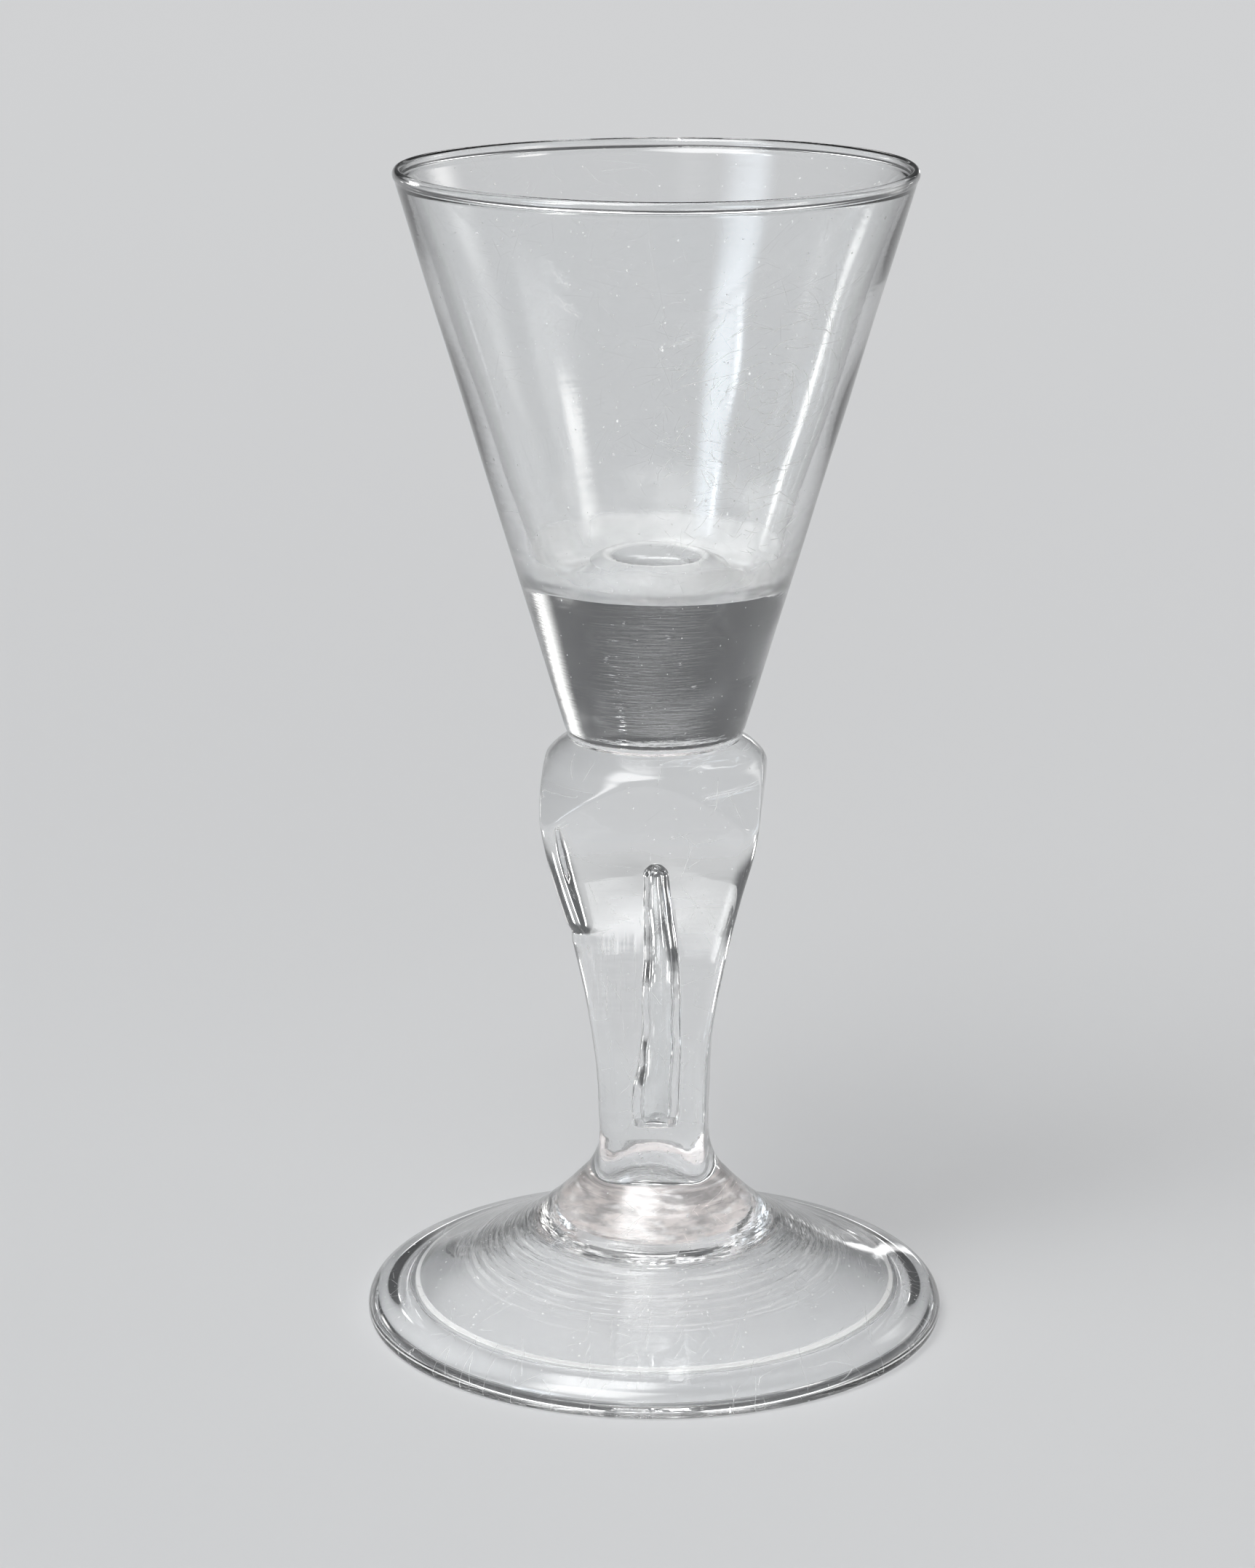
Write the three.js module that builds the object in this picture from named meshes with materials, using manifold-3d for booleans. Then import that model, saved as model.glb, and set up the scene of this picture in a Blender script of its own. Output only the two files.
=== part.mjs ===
// Drinking glass with a straight conical bowl on a four-sided pedestal stem, in clear lead glass.
// It is four gathers of glass, worked hot one on the other: foot, stem base, pedestal stem and bowl.
// Millimetres, +Z up. The origin is the middle of the foot, on the surface that the glass stands on.
// The front face of the stem looks along -Y, turned a little towards +X.
import * as THREE from "three";
import { mergeVertices } from "three/addons/utils/BufferGeometryUtils.js";
import Module from "manifold-3d";

const wasm = await Module();
wasm.setup();

// Heights of the four gathers, which meet in flat fused seams
const footHeight = 18.8;
const stemBaseHeight = 10.4;
const stemHeight = 56.5;
const bowlHeight = 79.3;
const footSeam = footHeight;
const tearSeam = footSeam + stemBaseHeight;
const bowlSeam = tearSeam + stemHeight;

// Bowl: a straight cone with a solid lower end, a low kick in the cavity's floor and a fire-polished lip
const bowlBaseRadius = 12.2;
const lipRadius = 35.65;
const lipThickness = 1.3;
const lipDepth = 1.7;
const lipOverhang = 0.3;
const wallUnderLip = 1.15;
const wallAtFloor = 2.8;
const solidDepth = 22.5;
const cornerRise = 2.4;
const cornerWidth = 3.6;
const kickRise = 3.4;
const dishRadius = 6.2;
const dishDepth = 1.3;

// Pedestal stem: four tapering faces with arched tops, cut into a round shoulder
const shoulderReach = 10;
const shoulderDrop = 12.7;
const faceTopHalfWidth = 15.5;
const faceLowHalfWidth = 7.46;
const arrisRadius = 2.4;
const archSoftness = 1.1;
const faceTurnDegrees = -4;

// Tear: the long air bubble inside the stem, closed below by the stem base
const tearLength = 40.6;
const tearRadius = 3.5;
const tearOffset = 0.4;
const tearBow = 0.75;

// Foot: a domed cone with its rim folded under, and the rough pontil scar below
const footRadius = 41.3;
const footSeatRadius = 12.4;
const rimRadius = 3.1;
const rimCentreHeight = 1.4;
const rimSlopeDegrees = 18;
const restInset = 1;
const restWidth = 1.8;
const foldWidth = 7.9;
const foldLip = 1.1;
const plateThickness = 2.6;
const pontilRadius = 11.5;
const pontilStep = 0.6;
const pontilSag = 0.5;
const underDomeHeight = 13.2;

// Facets
const roundSides = 64;
const stemSides = 72;
const tearSides = 20;
const arcSteps = 5;

const clearGlass = { color: 0xdde6ea, roughness: 0.04, metalness: 0, transparent: true, opacity: 0.4 };

// Smooth curve through a table of [place, value] shares, read at a place
function readShares(table, place) {
  const last = table.length - 1;
  let low = 0;
  while (low < last - 1 && place > table[low + 1][0]) low += 1;
  const slope = (index) => {
    const before = table[Math.max(index - 1, 0)];
    const after = table[Math.min(index + 1, last)];
    return (after[1] - before[1]) / (after[0] - before[0]);
  };
  const [from, fromValue] = table[low];
  const [to, toValue] = table[low + 1];
  const span = to - from;
  const t = (place - from) / span;
  const rest = 1 - t;
  return (
    rest * rest * (1 + 2 * t) * fromValue +
    t * rest * rest * span * slope(low) +
    t * t * (3 - 2 * t) * toValue -
    t * t * rest * span * slope(low + 1)
  );
}

// A turned body: the profile is a list of [radius, height] that starts and ends on the axis
function turned(profile) {
  const points = profile.map(([radius, height]) => new THREE.Vector2(radius, height));
  return new THREE.LatheGeometry(points, roundSides).rotateX(Math.PI / 2);
}

// A closed skin over rings of equal count, from the lowest ring to the highest
function loft(rings) {
  const count = rings[0].length;
  const middle = (ring) => {
    const sum = ring.reduce((total, point) => total.add(point), new THREE.Vector3());
    return sum.divideScalar(count);
  };
  const points = [...rings.flat(), middle(rings[0]), middle(rings[rings.length - 1])];
  const lowMiddle = rings.length * count;
  const highMiddle = lowMiddle + 1;
  const highRing = (rings.length - 1) * count;
  const faces = [];
  for (let side = 0; side < count; side += 1) {
    const next = (side + 1) % count;
    for (let level = 0; level < highRing; level += count) {
      faces.push(level + side, level + next, level + count + next);
      faces.push(level + side, level + count + next, level + count + side);
    }
    faces.push(lowMiddle, next, side);
    faces.push(highMiddle, highRing + side, highRing + next);
  }
  const body = new THREE.BufferGeometry().setFromPoints(points);
  body.setIndex(faces);
  return body;
}

function toSolid(geometry) {
  const bare = geometry.clone();
  bare.deleteAttribute("normal");
  bare.deleteAttribute("uv");
  const merged = mergeVertices(bare);
  const vertProperties = new Float32Array(merged.attributes.position.array);
  const triVerts = new Uint32Array(merged.index.array);
  return new wasm.Manifold(new wasm.Mesh({ numProp: 3, vertProperties, triVerts }));
}

function toGeometry(solid) {
  const { vertProperties, triVerts } = solid.getMesh();
  const body = new THREE.BufferGeometry();
  body.setAttribute("position", new THREE.BufferAttribute(vertProperties, 3));
  body.setIndex(new THREE.BufferAttribute(triVerts, 1));
  return body;
}

// Polar radius of a square with rounded arrises, at an angle from the middle of a face
function squareRadius(angle, halfWidth) {
  const quarter = Math.PI / 2;
  const turn = Math.abs(angle - quarter * Math.round(angle / quarter));
  const arris = Math.min(arrisRadius, halfWidth);
  const flat = halfWidth - arris;
  if (Math.tan(turn) * halfWidth <= flat) return halfWidth / Math.cos(turn);
  const along = flat * (Math.cos(turn) + Math.sin(turn));
  const aside = flat * (Math.cos(turn) - Math.sin(turn));
  return along + Math.sqrt(arris ** 2 - aside ** 2);
}

// The lesser of two lengths, with the crease between them rounded over
function softLesser(first, second, softness) {
  const nearness = Math.max(softness - Math.abs(first - second), 0);
  return Math.min(first, second) - nearness ** 2 / (4 * softness);
}

// Angles round the stem, closer together at the four arrises than on the flat faces
function stemAngles() {
  const crowdShare = 0.7;
  const faces = 4;
  return Array.from({ length: stemSides }, (_, side) => {
    const even = (2 * Math.PI * side) / stemSides;
    return even + (crowdShare * Math.sin(faces * even)) / faces;
  });
}

// One ring of the stem: its polar radius comes from the angle to the middle of a face
function stemRing(height, radiusAt) {
  const turn = THREE.MathUtils.degToRad(faceTurnDegrees);
  return stemAngles().map((angle) => {
    const radius = radiusAt(angle);
    const heading = angle + turn;
    return new THREE.Vector3(radius * Math.cos(heading), radius * Math.sin(heading), height);
  });
}

function makeBowl() {
  // Shares of the way in from the corner to the dish, and of the kick's rise above the corner
  const kickShares = [
    [0, 0],
    [0.15, 0.03],
    [0.35, 0.25],
    [0.6, 0.76],
    [0.74, 0.94],
    [0.87, 1],
    [1, 0.93],
  ];
  // Shares of the way in from the dish's edge to its middle, and of its depth
  const dishShares = [
    [0, 0],
    [0.12, 0.3],
    [0.35, 0.75],
    [0.7, 0.97],
    [1, 1],
  ];
  const lipTop = bowlSeam + bowlHeight;
  const lipMiddle = lipTop - lipDepth / 2;
  const lipCentre = lipRadius - lipThickness / 2;
  const neckHeight = lipTop - lipDepth;
  const neckRadius = lipRadius - lipOverhang;
  const floorLow = bowlSeam + solidDepth;
  const floorTop = floorLow + cornerRise;
  const outerSlope = (neckRadius - bowlBaseRadius) / (neckHeight - bowlSeam);
  const floorRadius = bowlBaseRadius + outerSlope * (floorTop - bowlSeam) - wallAtFloor;
  const innerNeck = neckRadius - wallUnderLip;
  const wallSteepness = (neckHeight - floorTop) / (innerNeck - floorRadius);

  // The floor's corner is part of an ellipse that runs smoothly into the straight wall
  const fullness = (wallSteepness * cornerWidth) / cornerRise;
  const endAngle = 2 * Math.atan(Math.sqrt(1 - 2 / fullness));
  const acrossRadius = cornerWidth / Math.sin(endAngle);
  const upRadius = cornerRise / (1 - Math.cos(endAngle));
  const lowRadius = floorRadius - cornerWidth;
  const kickSteps = 6;
  const dishSteps = 3;
  const profile = [
    [0, bowlSeam],
    [bowlBaseRadius, bowlSeam],
    [neckRadius, neckHeight],
  ];
  const lipStart = -Math.PI / 4;
  const lipEnd = Math.PI - lipStart;
  const lipSteps = 2 * arcSteps;
  for (let step = 0; step <= lipSteps; step += 1) {
    const angle = lipStart + ((lipEnd - lipStart) * step) / lipSteps;
    const radius = lipCentre + (lipThickness / 2) * Math.cos(angle);
    profile.push([radius, lipMiddle + (lipDepth / 2) * Math.sin(angle)]);
  }
  profile.push([innerNeck, neckHeight]);
  for (let step = arcSteps; step > 0; step -= 1) {
    const angle = (endAngle * step) / arcSteps;
    profile.push([lowRadius + acrossRadius * Math.sin(angle), floorLow + upRadius * (1 - Math.cos(angle))]);
  }
  for (let step = 0; step <= kickSteps; step += 1) {
    const share = step / kickSteps;
    const radius = THREE.MathUtils.lerp(lowRadius, dishRadius, share);
    profile.push([radius, floorLow + kickRise * readShares(kickShares, share)]);
  }
  const dishTop = profile[profile.length - 1][1];
  for (let step = 1; step <= dishSteps; step += 1) {
    const share = step / dishSteps;
    profile.push([dishRadius * (1 - share), dishTop - dishDepth * readShares(dishShares, share)]);
  }
  return turned(profile);
}

function makePedestalStem() {
  // Shares of the stem's height from below, and of the growth in half width from low end to top
  const taperShares = [
    [0, 0],
    [0.19, 0.07],
    [0.33, 0.2],
    [0.49, 0.41],
    [0.64, 0.665],
    [0.76, 0.88],
    [0.87, 0.98],
    [1, 1],
  ];
  // Shares of the shoulder's drop below the bowl, and of its reach beyond the bowl's base
  const shoulderShares = [
    [0, 0],
    [0.04, 0.07],
    [0.09, 0.16],
    [0.18, 0.28],
    [0.28, 0.36],
    [0.38, 0.45],
    [0.5, 0.58],
    [0.68, 0.75],
    [0.84, 0.88],
    [1, 1],
  ];
  const shoulderLevels = 15;
  const taperLevels = 13;
  const heights = [];
  for (let level = 0; level < taperLevels; level += 1) {
    heights.push(tearSeam + ((stemHeight - shoulderDrop) * level) / taperLevels);
  }
  for (let level = 0; level <= shoulderLevels; level += 1) {
    const upShare = level / shoulderLevels;
    const share = upShare * (2 - upShare);
    heights.push(bowlSeam - shoulderDrop * (1 - share));
  }
  const rings = heights.map((height) => {
    const rise = (height - tearSeam) / stemHeight;
    const growth = faceTopHalfWidth - faceLowHalfWidth;
    const halfWidth = faceLowHalfWidth + growth * readShares(taperShares, rise);
    const drop = Math.min((bowlSeam - height) / shoulderDrop, 1);
    const round = bowlBaseRadius + shoulderReach * readShares(shoulderShares, drop);
    return stemRing(height, (angle) => softLesser(round, squareRadius(angle, halfWidth), archSoftness));
  });
  return toGeometry(toSolid(loft(rings)).subtract(toSolid(makeTear())));
}

// The tear runs a little past the seam, so that the cut leaves its lower end open
function makeTear() {
  // Shares of the tear's length from below, of its radius, and of its sideways bow
  const radiusShares = [
    [-0.1, 0.84],
    [0, 0.9],
    [0.04, 0.99],
    [0.13, 1],
    [0.24, 0.89],
    [0.36, 0.79],
    [0.49, 0.84],
    [0.66, 0.71],
    [0.8, 0.6],
    [0.93, 0.54],
  ];
  const bowShares = [
    [-0.1, 0],
    [0.1, 0],
    [0.28, 0.85],
    [0.52, 1],
    [0.66, 1],
    [0.8, 0.6],
    [1, 0],
  ];
  const domeShare = 0.93;
  const overrun = 1;
  const bodySteps = 15;
  const domeSteps = 4;
  const domeDepth = tearRadius * readShares(radiusShares, domeShare);
  const bodyLength = tearLength - domeDepth;
  const domeRadius = tearRadius * readShares(radiusShares, bodyLength / tearLength);
  const circle = (rise, radius) => {
    const across = tearOffset + tearBow * readShares(bowShares, rise / tearLength);
    return Array.from({ length: tearSides }, (_, side) => {
      const angle = (2 * Math.PI * side) / tearSides;
      const x = across + radius * Math.cos(angle);
      return new THREE.Vector3(x, radius * Math.sin(angle), tearSeam + rise);
    });
  };
  const rings = [circle(-overrun, tearRadius * readShares(radiusShares, -overrun / tearLength))];
  for (let step = 0; step < bodySteps; step += 1) {
    const rise = (bodyLength * step) / bodySteps;
    rings.push(circle(rise, tearRadius * readShares(radiusShares, rise / tearLength)));
  }
  for (let step = 0; step < domeSteps; step += 1) {
    const angle = ((Math.PI / 2) * step) / domeSteps;
    rings.push(circle(bodyLength + domeDepth * Math.sin(angle), domeRadius * Math.cos(angle)));
  }
  return loft(rings);
}

function makeStemBase() {
  // Shares of the base's height from above, and of the way from the square's half width to the foot seat
  const flareShares = [
    [0, 0],
    [0.15, 0.01],
    [0.28, 0.05],
    [0.48, 0.17],
    [0.69, 0.4],
    [0.87, 0.74],
    [1, 1],
  ];
  const squareEndShare = 0.12;
  const roundStartShare = 0.8;
  const levels = 13;
  const rings = [];
  for (let level = levels; level >= 0; level -= 1) {
    const share = level / levels;
    const growth = footSeatRadius - faceLowHalfWidth;
    const halfWidth = faceLowHalfWidth + growth * readShares(flareShares, share);
    const roundness = THREE.MathUtils.smoothstep(share, squareEndShare, roundStartShare);
    rings.push(
      stemRing(tearSeam - stemBaseHeight * share, (angle) =>
        THREE.MathUtils.lerp(squareRadius(angle, halfWidth), halfWidth, roundness),
      ),
    );
  }
  return loft(rings);
}

function makeFoot() {
  // Shares of the way out from the seat to the rim, and of the height of the seat above the rim
  const domeShares = [
    [0, 1],
    [0.11, 0.81],
    [0.25, 0.62],
    [0.43, 0.43],
    [0.62, 0.26],
    [0.81, 0.11],
    [1, 0],
  ];
  const rimCentre = footRadius - rimRadius;
  const rimStart = Math.PI / 2 - THREE.MathUtils.degToRad(rimSlopeDegrees);
  const domeEndRadius = rimCentre + rimRadius * Math.cos(rimStart);
  const domeEndHeight = rimCentreHeight + rimRadius * Math.sin(rimStart);
  const domeSpan = domeEndRadius - footSeatRadius;
  const domeDrop = footSeam - domeEndHeight;
  const topAt = (radius) => {
    const share = (radius - footSeatRadius) / domeSpan;
    return domeEndHeight + domeDrop * readShares(domeShares, share);
  };
  const nudgeShare = 0.001;
  const steepnessAt = (radius) => {
    const nudge = domeSpan * nudgeShare;
    return (topAt(radius - nudge) - topAt(radius + nudge)) / (2 * nudge);
  };
  const underAt = (radius) => topAt(radius) - plateThickness * Math.hypot(1, steepnessAt(radius));
  const foldInner = footRadius - foldWidth;
  const restOuter = footRadius - restInset;
  const restInner = restOuter - restWidth;
  const domeSteps = 9;
  const underSteps = 6;
  const underStartShare = 0.17;

  // From the scar out along the underside, round the folded rim, and back in over the top
  const profile = [
    [0, underDomeHeight - pontilStep - pontilSag],
    [pontilRadius / 2, underDomeHeight - pontilStep - pontilSag / 2],
    [pontilRadius, underDomeHeight - pontilStep],
    [pontilRadius + pontilStep / 2, underDomeHeight],
  ];
  const underStart = footSeatRadius + domeSpan * underStartShare;
  for (let step = 0; step <= underSteps; step += 1) {
    const radius = underStart + ((foldInner - foldLip - underStart) * step) / underSteps;
    profile.push([radius, underAt(radius)]);
  }
  profile.push([foldInner, underAt(foldInner) - foldLip / 3]);
  profile.push([foldInner + foldLip / 2, underAt(foldInner) - foldLip]);
  profile.push([(foldInner + restInner) / 2, foldLip]);
  profile.push([restInner, 0]);
  profile.push([restOuter, 0]);
  for (let step = 1; step < arcSteps; step += 1) {
    const angle = ((Math.PI / 2) * step) / arcSteps;
    profile.push([restOuter + restInset * Math.sin(angle), rimCentreHeight * (1 - Math.cos(angle))]);
  }
  for (let step = 0; step < arcSteps; step += 1) {
    const angle = (rimStart * step) / arcSteps;
    profile.push([rimCentre + rimRadius * Math.cos(angle), rimCentreHeight + rimRadius * Math.sin(angle)]);
  }
  for (let step = domeSteps; step >= 0; step -= 1) {
    const radius = footSeatRadius + (domeSpan * step) / domeSteps;
    profile.push([radius, topAt(radius)]);
  }
  profile.push([0, footSeam]);
  return turned(profile);
}

function addPiece(group, name, geometry) {
  const piece = new THREE.Mesh(geometry, new THREE.MeshStandardMaterial(clearGlass));
  piece.name = name;
  group.add(piece);
}

const glass = new THREE.Group();
addPiece(glass, "foot", makeFoot());
addPiece(glass, "stem_base", makeStemBase());
addPiece(glass, "pedestal_stem", makePedestalStem());
addPiece(glass, "bowl", makeBowl());

export default glass;
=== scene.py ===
import math
import random

import bpy
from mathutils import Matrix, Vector, noise


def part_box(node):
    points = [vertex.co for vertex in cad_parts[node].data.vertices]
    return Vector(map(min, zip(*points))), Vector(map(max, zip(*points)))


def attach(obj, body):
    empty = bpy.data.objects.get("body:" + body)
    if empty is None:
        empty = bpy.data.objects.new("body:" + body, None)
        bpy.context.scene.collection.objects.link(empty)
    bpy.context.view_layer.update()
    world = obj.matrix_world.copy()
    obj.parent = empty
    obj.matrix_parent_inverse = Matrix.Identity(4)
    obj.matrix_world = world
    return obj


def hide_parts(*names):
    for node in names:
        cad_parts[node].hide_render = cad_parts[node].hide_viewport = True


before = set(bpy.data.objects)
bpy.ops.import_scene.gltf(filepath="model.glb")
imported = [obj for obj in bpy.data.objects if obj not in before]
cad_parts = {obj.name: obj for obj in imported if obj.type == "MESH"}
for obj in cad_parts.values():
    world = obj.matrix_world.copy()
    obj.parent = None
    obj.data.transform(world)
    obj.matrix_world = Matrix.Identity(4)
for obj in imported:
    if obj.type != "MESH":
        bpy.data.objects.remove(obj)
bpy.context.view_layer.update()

mm = 0.001
fullTurn = 2 * math.pi
random.seed(1720)


def smoothShares(table, place):
    # cubic through a short table of [place, value], the same curve that the solids use
    last = len(table) - 1
    low = 0
    while low < last - 1 and place > table[low + 1][0]:
        low += 1

    def slope(index):
        before, after = table[max(index - 1, 0)], table[min(index + 1, last)]
        return (after[1] - before[1]) / (after[0] - before[0])

    (start, startValue), (end, endValue) = table[low], table[low + 1]
    span = end - start
    t = (place - start) / span
    rest = 1 - t
    return (rest * rest * (1 + 2 * t) * startValue + t * rest * rest * span * slope(low)
            + t * t * (3 - 2 * t) * endValue - t * t * rest * span * slope(low + 1))


def smoothStep(value, low, high):
    t = min(max((value - low) / (high - low), 0), 1)
    return t * t * (3 - 2 * t)


def mixed(low, high, share):
    return low + (high - low) * share


def lengthOf(x, y):
    return (x * x + y * y) ** 0.5


def seamHold(height, low, high, fade):
    # 1 along a piece and 0 at both its seams, so that the waves leave the seams flat
    return smoothStep(height, low, low + fade) * smoothStep(high - height, 0, fade)


class Wobble:
    # a few slow waves round and along a piece, the unevenness of hand-worked glass
    def __init__(self, height, waves, roundWaves, lengthWave):
        self.height = height
        self.waves = [(random.choice(roundWaves), random.uniform(0, fullTurn),
                       fullTurn / (lengthWave * random.uniform(0.7, 1.6)), random.uniform(0, fullTurn))
                      for _ in range(waves)]

    def at(self, angle, along):
        total = sum(math.cos(times * angle + turn) * math.cos(rate * along + shift)
                    for times, turn, rate, shift in self.waves)
        return self.height * total / math.sqrt(len(self.waves))


glassFace, seamFace = 0, 1        # the two materials of every piece


def ringMesh(name, rings, slots):
    # a skin over rings of equal count; slots holds one material for each strip, then for the two ends
    count = len(rings[0])
    points = [point for ring in rings for point in ring]
    faces, numbers = [], []
    for level in range(len(rings) - 1):
        base = level * count
        for side in range(count):
            after = (side + 1) % count
            faces.append((base + side, base + after, base + count + after, base + count + side))
            numbers.append(slots[level])
    for ring, start, forward, slot in ((rings[0], 0, False, slots[-2]),
                                       (rings[-1], (len(rings) - 1) * count, True, slots[-1])):
        points.append(sum(ring, Vector()) / count)
        for side in range(count):
            pair = (start + side, start + (side + 1) % count)
            faces.append((*(pair if forward else pair[::-1]), len(points) - 1))
            numbers.append(slot)
    mesh = bpy.data.meshes.new(name)
    mesh.from_pydata([tuple(point) for point in points], [], faces)
    mesh.polygons.foreach_set("material_index", numbers)
    mesh.shade_smooth()
    # the shading breaks where polished skin meets a fused seam
    beside = {}
    for polygon in mesh.polygons:
        for key in polygon.edge_keys:
            beside.setdefault(key, set()).add(polygon.material_index)
    for edge in mesh.edges:
        edge.use_edge_sharp = len(beside[edge.key]) > 1
    piece = bpy.data.objects.new(name, mesh)
    bpy.context.collection.objects.link(piece)
    return piece


print("stage: sizes from the frame")
heights = {
    "table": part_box("foot")[0].z,
    "footSeam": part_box("stem_base")[0].z,
    "tearSeam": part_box("pedestal_stem")[0].z,
    "bowlSeam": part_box("bowl")[0].z,
    "lip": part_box("bowl")[1].z,
}


bowlSizes = {
    "baseRadius": 12.2 * mm,
    "lipRadius": 35.65 * mm,
    "lipThickness": 1.3 * mm,
    "lipDepth": 1.7 * mm,
    "lipOverhang": 0.3 * mm,
    "wallUnderLip": 1.15 * mm,
    "wallAtFloor": 2.8 * mm,
    "solidDepth": 22.5 * mm,
    "cornerRise": 2.4 * mm,
    "cornerWidth": 3.6 * mm,
    "kickRise": 3.4 * mm,
    "kickShares": [(0, 0), (0.15, 0.03), (0.35, 0.25), (0.6, 0.76), (0.74, 0.94), (0.87, 1), (1, 0.93)],
    "dishRadius": 6.2 * mm,
    "dishDepth": 1.3 * mm,
    "dishShares": [(0, 0), (0.12, 0.3), (0.35, 0.75), (0.7, 0.97), (1, 1)],
    # how the hand-worked bowl departs from a true cone
    "wave": 0.035 * mm,
    "waveLength": 26 * mm,
    "warp": 0.35 * mm,
    "warpTurn": math.radians(20),
    "warpReach": 25 * mm,
    "floorTilt": math.radians(1.0),
    "tiltReach": 14 * mm,
    "kickAside": 0.9 * mm,
    "grooveDepth": 0.14 * mm,
    "grooveHeight": 0.9 * mm,
    "grooveWidth": 0.32 * mm,
    "around": 256,
    "wallRings": 110,
    "baseRings": 40,
    "baseReach": 4 * mm,
    "lipRings": 20,
    "cornerRings": 26,
    "kickRings": 44,
    "dishRings": 20,
}


def bowlProfile(sizes):
    # [radius, height, share], where share runs from 0 on the outside to 1 on the inside
    lipTop, seam = heights["lip"], heights["bowlSeam"]
    neckHeight = lipTop - sizes["lipDepth"]
    neckRadius = sizes["lipRadius"] - sizes["lipOverhang"]
    floorLow = seam + sizes["solidDepth"]
    floorTop = floorLow + sizes["cornerRise"]
    outerSlope = (neckRadius - sizes["baseRadius"]) / (neckHeight - seam)
    floorRadius = sizes["baseRadius"] + outerSlope * (floorTop - seam) - sizes["wallAtFloor"]
    innerNeck = neckRadius - sizes["wallUnderLip"]
    steepness = (neckHeight - floorTop) / (innerNeck - floorRadius)
    fullness = steepness * sizes["cornerWidth"] / sizes["cornerRise"]
    endAngle = 2 * math.atan(math.sqrt(1 - 2 / fullness))
    acrossRadius = sizes["cornerWidth"] / math.sin(endAngle)
    upRadius = sizes["cornerRise"] / (1 - math.cos(endAngle))
    lowRadius = floorRadius - sizes["cornerWidth"]

    profile = []
    baseTop = seam + sizes["baseReach"]
    levels = [mixed(seam, baseTop, step / sizes["baseRings"]) for step in range(sizes["baseRings"])]
    levels += [mixed(baseTop, neckHeight, step / sizes["wallRings"])
               for step in range(sizes["wallRings"] + 1)]
    for height in levels:
        fromGroove = (height - seam - sizes["grooveHeight"]) / sizes["grooveWidth"]
        groove = sizes["grooveDepth"] * math.exp(-fromGroove ** 2)
        profile.append((sizes["baseRadius"] + outerSlope * (height - seam) - groove, height, 0))
    for step in range(sizes["lipRings"] + 1):
        share = step / sizes["lipRings"]
        angle = mixed(-math.pi / 4, 5 * math.pi / 4, share)
        profile.append((sizes["lipRadius"] + sizes["lipThickness"] / 2 * (math.cos(angle) - 1),
                        lipTop + sizes["lipDepth"] / 2 * (math.sin(angle) - 1), share))
    for step in range(sizes["wallRings"]):
        share = step / sizes["wallRings"]
        profile.append((mixed(innerNeck, floorRadius, share), mixed(neckHeight, floorTop, share), 1))
    for step in range(sizes["cornerRings"]):
        angle = endAngle * (1 - step / sizes["cornerRings"])
        profile.append((lowRadius + acrossRadius * math.sin(angle),
                        floorLow + upRadius * (1 - math.cos(angle)), 1))
    # a low kick stands in the middle of the floor, with a shallow dish in its top
    for step in range(sizes["kickRings"] + 1):
        share = step / sizes["kickRings"]
        profile.append((mixed(lowRadius, sizes["dishRadius"], share),
                        floorLow + sizes["kickRise"] * smoothShares(sizes["kickShares"], share), 1))
    dishTop = profile[-1][1]
    for step in range(1, sizes["dishRings"]):
        share = step / sizes["dishRings"]
        profile.append((sizes["dishRadius"] * (1 - share),
                        dishTop - sizes["dishDepth"] * smoothShares(sizes["dishShares"], share), 1))
    return profile, floorTop, lowRadius


def makeBowl():
    sizes = bowlSizes
    profile, floorTop, lowRadius = bowlProfile(sizes)
    outerWave = Wobble(sizes["wave"], 9, (1, 2, 3, 4, 5, 7), sizes["waveLength"])
    innerWave = Wobble(sizes["wave"], 9, (1, 2, 3, 5, 6, 8), sizes["waveLength"])
    rings = []
    for radius, height, share in profile:
        hold = smoothStep(height, heights["bowlSeam"], heights["bowlSeam"] + 2 * sizes["baseReach"])
        hold *= smoothStep(radius, 0, lowRadius)
        warped = smoothStep(height, heights["lip"] - sizes["warpReach"], heights["lip"])
        tilted = share * (1 - smoothStep(height, floorTop, floorTop + sizes["tiltReach"]))
        aside = share * sizes["kickAside"] * (1 - smoothStep(radius, sizes["dishRadius"], lowRadius))
        if height > floorTop:
            aside = 0
        ring = []
        for side in range(sizes["around"]):
            angle = fullTurn * side / sizes["around"]
            wave = mixed(outerWave.at(angle, height), innerWave.at(angle, height), share)
            away = radius + wave * hold
            x = aside + away * math.cos(angle)
            drop = sizes["warp"] * (1 - math.cos(2 * (angle - sizes["warpTurn"]))) / 2 * warped
            drop += x * math.tan(sizes["floorTilt"]) * tilted
            ring.append(Vector((x, away * math.sin(angle), height - drop)))
        rings.append(ring)
    slots = [glassFace] * (len(rings) - 1) + [seamFace, glassFace]
    return ringMesh("bowl_glass", rings, slots)


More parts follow.
